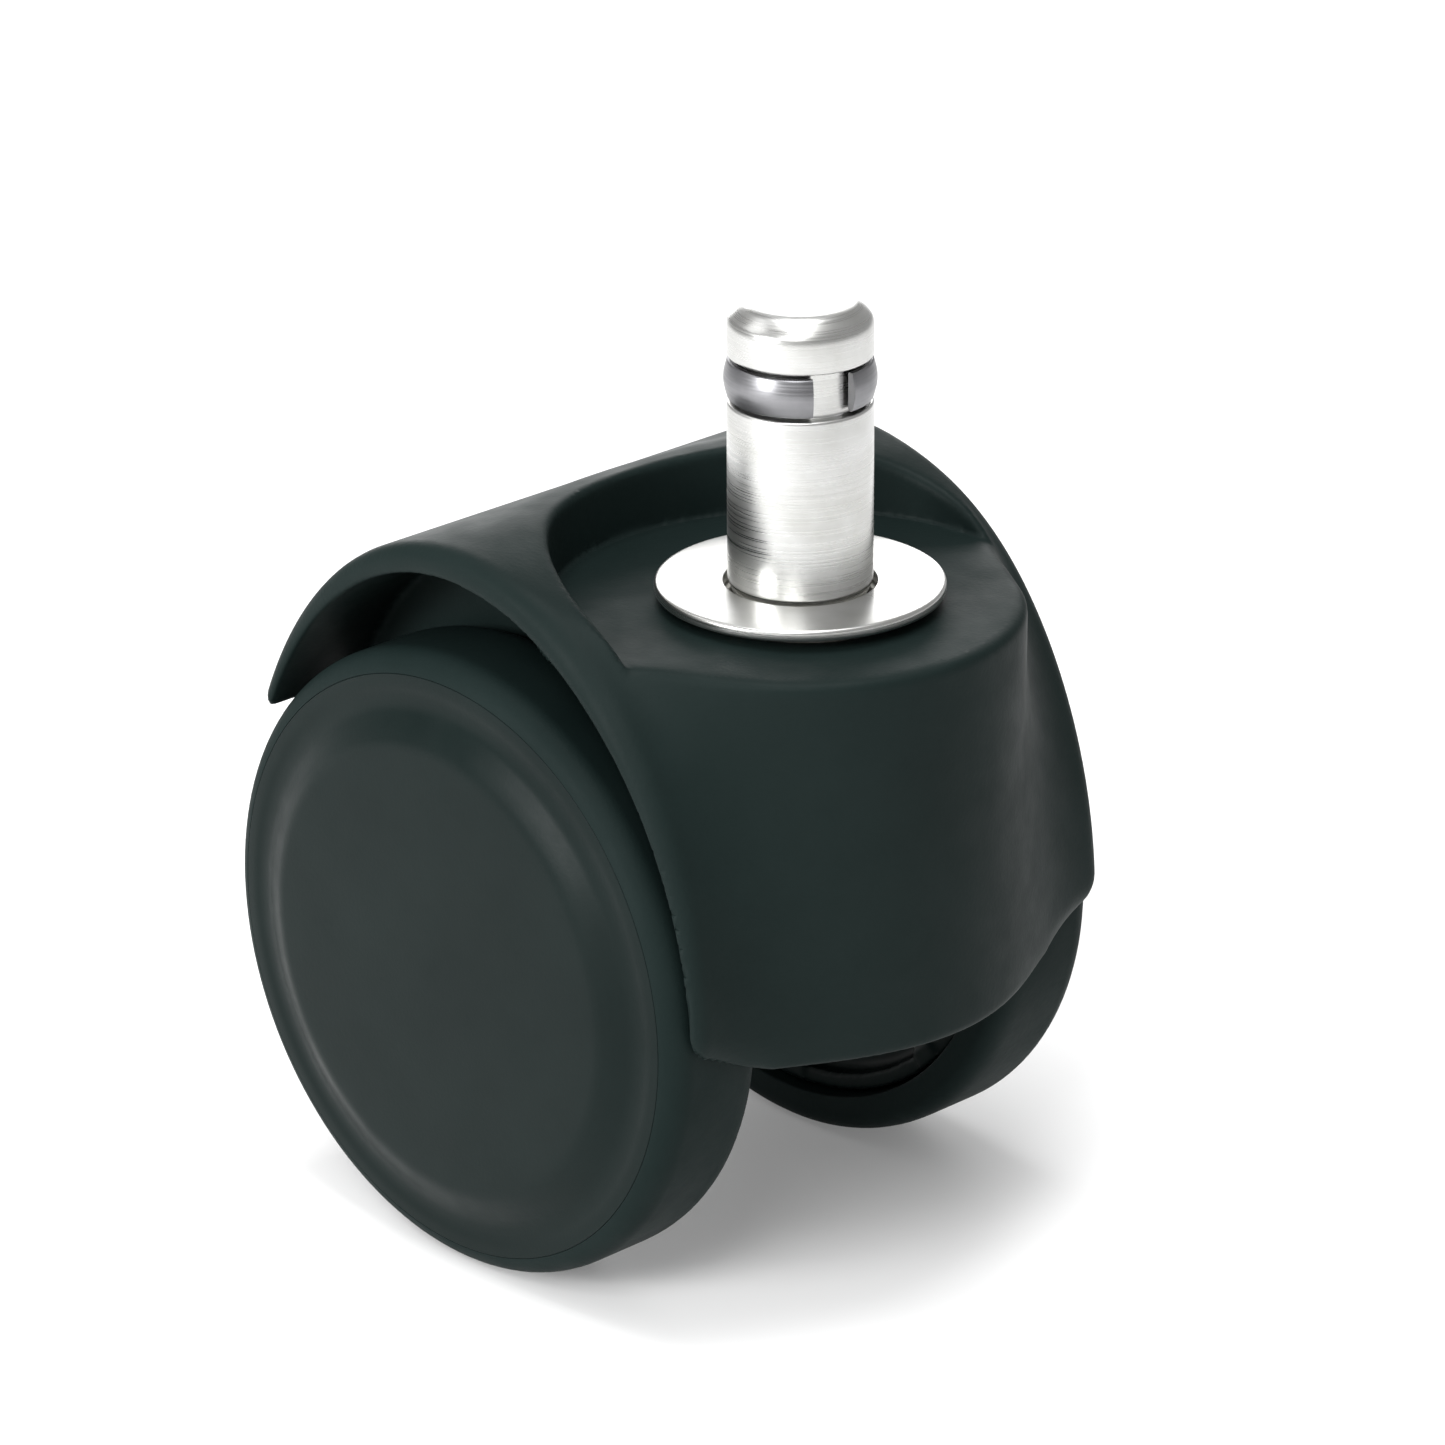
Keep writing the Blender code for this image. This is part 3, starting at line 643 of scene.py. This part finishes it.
def moulded(name, dark, light, roughness, grain_mm, grain_depth, specular):
    """Moulded plastic: faint clouding, a fine spark-eroded grain and a slightly uneven sheen."""
    made, shader, add, link = node_tree(name)
    where = add("ShaderNodeTexCoord").outputs["Object"]
    cloud = add("ShaderNodeTexNoise", {"Vector": where, "Scale": 90.0, "Detail": 3.0, "Roughness": 0.55})
    link(ramp(add, cloud.outputs["Fac"], [(0.35, dark), (0.68, light)]), shader.inputs["Base Color"])
    grain = add("ShaderNodeTexNoise", {"Vector": where, "Scale": 1.0 / (grain_mm * MM), "Detail": 2.0})
    wave = add("ShaderNodeTexNoise", {"Vector": where, "Scale": 160.0, "Detail": 2.0})
    fine = add("ShaderNodeBump", {"Height": grain.outputs["Fac"], "Strength": 0.35,
                                  "Distance": grain_depth * MM})
    slow = add("ShaderNodeBump", {"Height": wave.outputs["Fac"], "Strength": 0.2, "Distance": 0.05 * MM,
                                  "Normal": fine.outputs["Normal"]})
    link(slow.outputs["Normal"], shader.inputs["Normal"])
    sheen = add("ShaderNodeTexNoise", {"Vector": where, "Scale": 240.0, "Detail": 4.0, "Roughness": 0.6})
    uneven = ramp(add, sheen.outputs["Fac"], [(0.3, roughness - 0.05), (0.7, roughness + 0.06)])
    link(uneven, shader.inputs["Roughness"])
    shader.inputs["Specular IOR Level"].default_value = specular
    return made


def metal(name, dark, light, roughness):
    """Turned and plated steel: fine tool marks round the upright axis and faint staining."""
    made, shader, add, link = node_tree(name)
    where = add("ShaderNodeTexCoord").outputs["Object"]
    marks_at = add("ShaderNodeMapping", {"Vector": where, "Scale": (60.0, 60.0, 9000.0)})
    marks = add("ShaderNodeTexNoise", {"Vector": marks_at.outputs["Vector"], "Scale": 1.0, "Detail": 3.0})
    stain = add("ShaderNodeTexNoise", {"Vector": where, "Scale": 220.0, "Detail": 4.0})
    link(ramp(add, stain.outputs["Fac"], [(0.35, dark), (0.65, light)]), shader.inputs["Base Color"])
    uneven = ramp(add, marks.outputs["Fac"], [(0.3, roughness - 0.07), (0.7, roughness + 0.08)])
    link(uneven, shader.inputs["Roughness"])
    bump = add("ShaderNodeBump", {"Height": marks.outputs["Fac"], "Strength": 0.2, "Distance": 0.02 * MM})
    link(bump.outputs["Normal"], shader.inputs["Normal"])
    shader.inputs["Metallic"].default_value = 1.0
    return made


MATERIALS = {
    "hood_nylon": moulded("hood_nylon_look", dark=(0.0070, 0.0129, 0.0122), light=(0.0086, 0.0152, 0.0145),
                          roughness=0.52, grain_mm=0.35, grain_depth=0.04, specular=0.07),
    "wheel_nylon": moulded("wheel_nylon_look", dark=(0.0044, 0.0089, 0.0084), light=(0.0056, 0.0107, 0.0101),
                           roughness=0.38, grain_mm=0.30, grain_depth=0.02, specular=0.085),
    "tread_polymer": moulded("tread_look", dark=(0.0063, 0.0123, 0.0117), light=(0.0080, 0.0147, 0.0140),
                             roughness=0.56, grain_mm=0.45, grain_depth=0.04, specular=0.06),
    "bearing_plastic": moulded("acetal_look", dark=(0.60, 0.59, 0.54), light=(0.68, 0.67, 0.62),
                               roughness=0.42, grain_mm=0.40, grain_depth=0.02, specular=0.4),
    "zinc_steel": metal("zinc_look", dark=(0.56, 0.56, 0.54), light=(0.66, 0.66, 0.65), roughness=0.30),
    "spring_steel": metal("spring_look", dark=(0.20, 0.20, 0.21), light=(0.28, 0.28, 0.29), roughness=0.36),
}
SLOTS = {row["node"]: row["material_slot"] for row in frame["record"]["subparts"]}
BODIES = {node: body for body, nodes in frame["record"]["behaviour"]["bodies"].items() for node in nodes}


def dress(piece, node):
    """Give a piece its node's finish and body, and hide the node's CAD part."""
    piece.data.materials.append(MATERIALS[SLOTS[node]])
    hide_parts(node)
    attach(piece, BODIES[node])


for made_piece, made_for in [(make_hood(), "hood_shell")] + make_wheels() + make_stem():
    dress(made_piece, made_for)


# ---------------------------------------------------------------- floor, light and camera

WHITE = (1.0, 1.0, 1.0, 1.0)
FLOOR_HALF = 3000.0
FLOOR_GAP = 0.02               # from the wheels down to the floor
FLOOR_PAINTED_GLOW = 0.16              # painted glow: the floor glows though it is no lamp, which lifts its shadows to a pale grey
WORLD_STRENGTH = 0.4
LIGHT_AIM = Vector((-0.01, 0.0, -0.03))
LIGHT_REACH = 0.7
LAMPS = [                      # name, bearing from -Y towards +X, rise, size in metres, watts
    ("front", -8.0, 18.0, 0.20, 3.9),
    ("front_right", 32.0, 42.0, 0.22, 1.8),
    ("left", -50.0, 45.0, 0.30, 0.4),
    ("high_right", 50.0, 60.0, 0.30, 0.5),
    ("overhead", 0.0, 88.0, 0.35, 3.4),
    ("back", -130.0, 14.0, 0.50, 2.4),
]


def make_floor():
    """A plain pale floor under the wheels, with a painted glow that keeps its shadows pale."""
    bm = bmesh.new()
    bmesh.ops.create_grid(bm, x_segments=1, y_segments=1, size=FLOOR_HALF)
    bmesh.ops.translate(bm, vec=(0.0, 0.0, FLOOR_Z - FLOOR_GAP), verts=bm.verts)
    floor = mesh_object("floor", bm)
    made, shader, add, link = node_tree("floor_paper")
    where = add("ShaderNodeTexCoord").outputs["Object"]
    fibre = add("ShaderNodeTexNoise", {"Vector": where, "Scale": 40.0, "Detail": 3.0})
    link(ramp(add, fibre.outputs["Fac"], [(0.3, 0.77), (0.7, 0.79)]), shader.inputs["Base Color"])
    shader.inputs["Roughness"].default_value = 0.9
    # painted glow: emission lifts the floor's shadows, though the floor is no lamp
    shader.inputs["Emission Color"].default_value = WHITE
    shader.inputs["Emission Strength"].default_value = FLOOR_PAINTED_GLOW
    shader.inputs["Specular IOR Level"].default_value = 0.1
    floor.data.materials.append(made)


def make_lamp(name, bearing, rise, size, power):
    """A soft square lamp in a direction from the caster, aimed at it."""
    across, up = math.radians(bearing), math.radians(rise)
    toward = Vector((math.sin(across) * math.cos(up), -math.cos(across) * math.cos(up), math.sin(up)))
    data = bpy.data.lights.new(name, "AREA")
    data.size = size
    data.energy = power
    lamp = bpy.data.objects.new(name, data)
    lamp.location = LIGHT_AIM + toward * LIGHT_REACH
    lamp.rotation_euler = (-toward).to_track_quat("-Z", "Y").to_euler()
    bpy.context.scene.collection.objects.link(lamp)


def make_light():
    """White surroundings and soft lamps round the caster, the strongest low before the near wheel."""
    world = bpy.data.worlds.new("surroundings")
    bpy.context.scene.world = world
    world.use_nodes = True
    background = world.node_tree.nodes["Background"]
    background.inputs["Color"].default_value = WHITE
    background.inputs["Strength"].default_value = WORLD_STRENGTH
    for lamp in LAMPS:
        make_lamp(*lamp)


CAMERA_BEARING = math.radians(44.87)    # from +X towards -Y
CAMERA_RISE = math.radians(26.7)
CAMERA_REACH = 0.515           # metres to the floor under the stem
LENS = 163.3
SENSOR = 36.0
FOOT_RIGHT = 0.0539            # where that floor point lies, right of and below the view's centre,
FOOT_BELOW = 0.3522            # as a share of the view's width


def make_camera():
    """A camera turned so that the floor under the stem lies low in the view."""
    out = Vector((math.cos(CAMERA_BEARING) * math.cos(CAMERA_RISE),
                  -math.sin(CAMERA_BEARING) * math.cos(CAMERA_RISE), math.sin(CAMERA_RISE)))
    right = Vector((math.sin(CAMERA_BEARING), math.cos(CAMERA_BEARING), 0.0))
    turn = Matrix((right, out.cross(right), out)).transposed()
    pitch = math.atan(FOOT_BELOW * SENSOR / LENS)
    yaw = math.atan(FOOT_RIGHT * SENSOR / LENS)
    turn = turn @ Matrix.Rotation(pitch, 3, "X") @ Matrix.Rotation(yaw, 3, "Y")
    data = bpy.data.cameras.new("camera")
    data.lens = LENS
    data.sensor_width = SENSOR
    camera = bpy.data.objects.new("camera", data)
    foot = Vector((0.0, 0.0, FLOOR_Z * MM))
    camera.matrix_world = Matrix.Translation(foot + out * CAMERA_REACH) @ turn.to_4x4()
    bpy.context.scene.collection.objects.link(camera)
    bpy.context.scene.camera = camera


make_floor()
make_light()
make_camera()
bpy.context.scene.view_settings.view_transform = "Standard"
